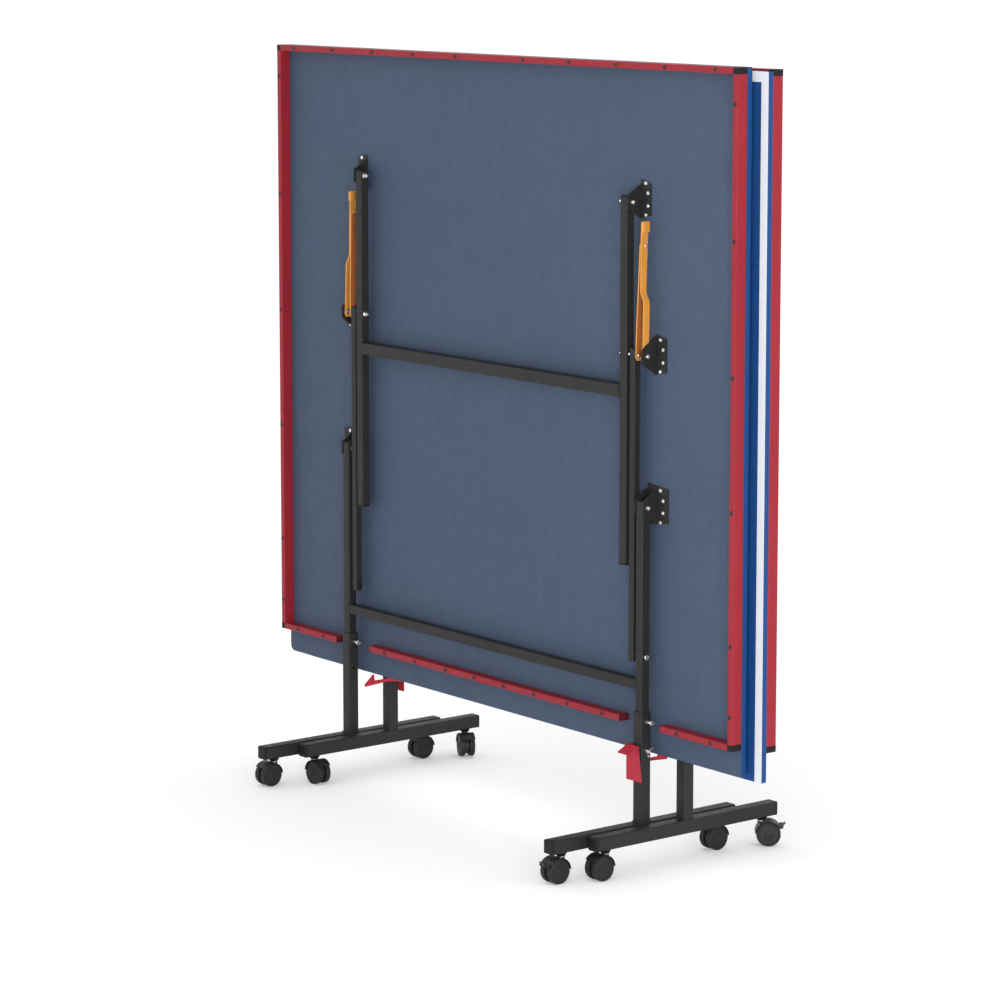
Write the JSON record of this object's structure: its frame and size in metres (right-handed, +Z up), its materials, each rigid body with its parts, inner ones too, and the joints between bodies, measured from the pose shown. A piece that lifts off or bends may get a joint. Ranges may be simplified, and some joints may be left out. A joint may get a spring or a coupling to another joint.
{
  "type": "table tennis table",
  "caption": "Folding table tennis table stowed upright: two framed board halves on wheeled carriages, fold-out legs, link rods, stays, latches and swivel casters.",
  "frame": {"origin": "on the floor, at the centre of the footprint of the stowed table, midway between the two upright boards", "axes": "+Z up; +X along the width of the upright boards; +Y from the front half to the rear half, square to the boards"},
  "size_m": [1.562, 0.5874, 1.595],
  "materials": {
    "board": "painted board, satin",
    "red_paint": "satin paint",
    "latch_red": "satin paint",
    "black_paint": "fine powder coat",
    "black_plastic": "matte",
    "black_screw": "black oxide",
    "zinc": "zinc plated",
    "orange_paint": "gloss paint",
    "caster_plastic": "moulded",
    "wheel_plastic": "moulded"
  },
  "bodies": {
    "carriage": {"front_upper_frame": "black_paint", "front_lower_posts": "black_paint", "front_foot_bars": "black_paint", "front_foot_bar_fittings": "black_plastic", "front_carriage_bolts": "zinc"},
    "rear_carriage": {"rear_upper_frame": "black_paint", "rear_lower_posts": "black_paint", "rear_foot_bars": "black_paint", "rear_foot_bar_fittings": "black_plastic", "rear_carriage_bolts": "zinc"},
    "front_board": {"front_tabletop": "board", "front_rails": "red_paint", "front_rail_caps": "black_plastic", "front_rail_screws": "black_screw", "front_leg_brackets": "black_paint", "front_stay_brackets": "black_paint", "front_post_brackets": "black_paint", "front_bracket_screws": "zinc", "front_board_bolts": "zinc"},
    "front_legs": {"front_leg_frame": "black_paint", "front_leg_plugs": "black_plastic", "front_leg_bolts": "zinc"},
    "front_rods": {"front_link_rods": "black_paint"},
    "front_stay_upper": {"front_stay_upper_links": "orange_paint"},
    "front_stay_lower": {"front_stay_lower_links": "orange_paint"},
    "front_latch": {"front_latch": "latch_red"},
    "rear_board": {"rear_tabletop": "board", "rear_rails": "red_paint", "rear_rail_caps": "black_plastic", "rear_rail_screws": "black_screw", "rear_leg_brackets": "black_paint", "rear_stay_brackets": "black_paint", "rear_post_brackets": "black_paint", "rear_bracket_screws": "zinc", "rear_board_bolts": "zinc"},
    "rear_legs": {"rear_leg_frame": "black_paint", "rear_leg_plugs": "black_plastic", "rear_leg_bolts": "zinc"},
    "rear_rods": {"rear_link_rods": "black_paint"},
    "rear_stay_upper": {"rear_stay_upper_links": "orange_paint"},
    "rear_stay_lower": {"rear_stay_lower_links": "orange_paint"},
    "rear_latch": {"rear_latch": "latch_red"},
    "front_left_near_swivel": {"front_left_near_caster": "caster_plastic"},
    "front_left_near_wheel": {"front_left_near_wheels": "wheel_plastic"},
    "front_left_far_swivel": {"front_left_far_caster": "caster_plastic"},
    "front_left_far_wheel": {"front_left_far_wheels": "wheel_plastic"},
    "front_right_near_swivel": {"front_right_near_caster": "caster_plastic"},
    "front_right_near_wheel": {"front_right_near_wheels": "wheel_plastic"},
    "front_right_near_lever": {"front_right_near_brake_lever": "caster_plastic"},
    "front_right_far_swivel": {"front_right_far_caster": "caster_plastic"},
    "front_right_far_wheel": {"front_right_far_wheels": "wheel_plastic"},
    "rear_left_near_swivel": {"rear_left_near_caster": "caster_plastic"},
    "rear_left_near_wheel": {"rear_left_near_wheels": "wheel_plastic"},
    "rear_left_near_lever": {"rear_left_near_brake_lever": "caster_plastic"},
    "rear_left_far_swivel": {"rear_left_far_caster": "caster_plastic"},
    "rear_left_far_wheel": {"rear_left_far_wheels": "wheel_plastic"},
    "rear_right_near_swivel": {"rear_right_near_caster": "caster_plastic"},
    "rear_right_near_wheel": {"rear_right_near_wheels": "wheel_plastic"},
    "rear_right_far_swivel": {"rear_right_far_caster": "caster_plastic"},
    "rear_right_far_wheel": {"rear_right_far_wheels": "wheel_plastic"}
  },
  "joints": [
    {"name": "rear_roll_out", "type": "slide", "parent": "carriage", "child": "rear_carriage", "axis": [0, 1, 0], "range_m": [0, 1.56]},
    {"name": "front_fold", "type": "hinge", "parent": "carriage", "child": "front_board", "pos_m": [-0.0185, -0.041, 0.723], "axis": [1, 0, 0], "range_deg": [0, 90]},
    {"name": "front_legs_deploy", "type": "hinge", "parent": "front_board", "child": "front_legs", "pos_m": [-0.0185, -0.041, 1.323], "axis": [1, 0, 0], "range_deg": [-90, 0]},
    {"name": "front_rods_swing", "type": "hinge", "parent": "carriage", "child": "front_rods", "pos_m": [-0.0185, -0.041, 0.423], "axis": [1, 0, 0], "range_deg": [0, 90]},
    {"name": "front_stay_upper_swing", "type": "hinge", "parent": "front_board", "child": "front_stay_upper", "pos_m": [-0.0185, -0.041, 1.023], "axis": [1, 0, 0], "range_deg": [0, 45]},
    {"name": "front_stay_lower_swing", "type": "hinge", "parent": "front_legs", "child": "front_stay_lower", "pos_m": [-0.0185, -0.041, 1.023], "axis": [1, 0, 0], "range_deg": [-45, 0]},
    {"name": "front_latch_hook", "type": "hinge", "parent": "carriage", "child": "front_latch", "pos_m": [-0.0185, -0.041, 0.234], "axis": [1, 0, 0], "range_deg": [0, 7]},
    {"name": "rear_fold", "type": "hinge", "parent": "rear_carriage", "child": "rear_board", "pos_m": [0.0185, 0.041, 0.723], "axis": [-1, 0, 0], "range_deg": [0, 90]},
    {"name": "rear_legs_deploy", "type": "hinge", "parent": "rear_board", "child": "rear_legs", "pos_m": [0.0185, 0.041, 1.323], "axis": [-1, 0, 0], "range_deg": [-90, 0]},
    {"name": "rear_rods_swing", "type": "hinge", "parent": "rear_carriage", "child": "rear_rods", "pos_m": [0.0185, 0.041, 0.423], "axis": [-1, 0, 0], "range_deg": [0, 90]},
    {"name": "rear_stay_upper_swing", "type": "hinge", "parent": "rear_board", "child": "rear_stay_upper", "pos_m": [0.0185, 0.041, 1.023], "axis": [-1, 0, 0], "range_deg": [0, 45]},
    {"name": "rear_stay_lower_swing", "type": "hinge", "parent": "rear_legs", "child": "rear_stay_lower", "pos_m": [0.0185, 0.041, 1.023], "axis": [-1, 0, 0], "range_deg": [-45, 0]},
    {"name": "rear_latch_hook", "type": "hinge", "parent": "rear_carriage", "child": "rear_latch", "pos_m": [0.0185, 0.041, 0.234], "axis": [-1, 0, 0], "range_deg": [0, 7]},
    {"name": "front_left_near_swivel", "type": "hinge", "parent": "carriage", "child": "front_left_near_swivel", "pos_m": [-0.515, -0.248, 0.056], "axis": [0, 0, 1], "continuous": true},
    {"name": "front_left_near_roll", "type": "hinge", "parent": "front_left_near_swivel", "child": "front_left_near_wheel", "pos_m": [-0.515, -0.2625, 0.025], "axis": [1, 0, 0], "continuous": true},
    {"name": "front_left_far_swivel", "type": "hinge", "parent": "carriage", "child": "front_left_far_swivel", "pos_m": [-0.515, 0.166, 0.056], "axis": [0, 0, 1], "continuous": true},
    {"name": "front_left_far_roll", "type": "hinge", "parent": "front_left_far_swivel", "child": "front_left_far_wheel", "pos_m": [-0.515, 0.1515, 0.025], "axis": [1, 0, 0], "continuous": true},
    {"name": "front_right_near_swivel", "type": "hinge", "parent": "carriage", "child": "front_right_near_swivel", "pos_m": [0.478, -0.248, 0.056], "axis": [0, 0, 1], "continuous": true},
    {"name": "front_right_near_roll", "type": "hinge", "parent": "front_right_near_swivel", "child": "front_right_near_wheel", "pos_m": [0.478, -0.2625, 0.025], "axis": [1, 0, 0], "continuous": true},
    {"name": "front_right_near_brake", "type": "hinge", "parent": "front_right_near_swivel", "child": "front_right_near_lever", "pos_m": [0.478, -0.2885, 0.04], "axis": [1, 0, 0], "range_deg": [0, 20]},
    {"name": "front_right_far_swivel", "type": "hinge", "parent": "carriage", "child": "front_right_far_swivel", "pos_m": [0.478, 0.166, 0.056], "axis": [0, 0, 1], "continuous": true},
    {"name": "front_right_far_roll", "type": "hinge", "parent": "front_right_far_swivel", "child": "front_right_far_wheel", "pos_m": [0.478, 0.1515, 0.025], "axis": [1, 0, 0], "continuous": true},
    {"name": "rear_left_near_swivel", "type": "hinge", "parent": "rear_carriage", "child": "rear_left_near_swivel", "pos_m": [0.515, 0.248, 0.056], "axis": [0, 0, 1], "continuous": true},
    {"name": "rear_left_near_roll", "type": "hinge", "parent": "rear_left_near_swivel", "child": "rear_left_near_wheel", "pos_m": [0.52432, 0.25911, 0.025], "axis": [-0.766, 0.6428, 0], "continuous": true},
    {"name": "rear_left_near_brake", "type": "hinge", "parent": "rear_left_near_swivel", "child": "rear_left_near_lever", "pos_m": [0.54103, 0.27903, 0.04], "axis": [-0.766, 0.6428, 0], "range_deg": [0, 20]},
    {"name": "rear_left_far_swivel", "type": "hinge", "parent": "rear_carriage", "child": "rear_left_far_swivel", "pos_m": [0.515, -0.166, 0.056], "axis": [0, 0, 1], "continuous": true},
    {"name": "rear_left_far_roll", "type": "hinge", "parent": "rear_left_far_swivel", "child": "rear_left_far_wheel", "pos_m": [0.515, -0.1805, 0.025], "axis": [1, 0, 0], "continuous": true},
    {"name": "rear_right_near_swivel", "type": "hinge", "parent": "rear_carriage", "child": "rear_right_near_swivel", "pos_m": [-0.478, 0.248, 0.056], "axis": [0, 0, 1], "continuous": true},
    {"name": "rear_right_near_roll", "type": "hinge", "parent": "rear_right_near_swivel", "child": "rear_right_near_wheel", "pos_m": [-0.46486, 0.24187, 0.025], "axis": [0.4226, 0.9063, 0], "continuous": true},
    {"name": "rear_right_far_swivel", "type": "hinge", "parent": "rear_carriage", "child": "rear_right_far_swivel", "pos_m": [-0.478, -0.166, 0.056], "axis": [0, 0, 1], "continuous": true},
    {"name": "rear_right_far_roll", "type": "hinge", "parent": "rear_right_far_swivel", "child": "rear_right_far_wheel", "pos_m": [-0.4635, -0.166, 0.025], "axis": [0, 1, 0], "continuous": true}
  ],
  "couplings": [
    {"joint": "rear_roll_out", "follows": "front_fold", "m_per_rad": 0.985},
    {"joint": "front_legs_deploy", "follows": "front_fold", "ratio": -1},
    {"joint": "front_rods_swing", "follows": "front_fold", "ratio": 1},
    {"joint": "front_stay_upper_swing", "follows": "front_fold", "ratio": 0.5},
    {"joint": "front_stay_lower_swing", "follows": "front_fold", "ratio": -0.5},
    {"joint": "rear_fold", "follows": "front_fold", "ratio": 1},
    {"joint": "rear_legs_deploy", "follows": "front_fold", "ratio": -1},
    {"joint": "rear_rods_swing", "follows": "front_fold", "ratio": 1},
    {"joint": "rear_stay_upper_swing", "follows": "front_fold", "ratio": 0.5},
    {"joint": "rear_stay_lower_swing", "follows": "front_fold", "ratio": -0.5}
  ]
}
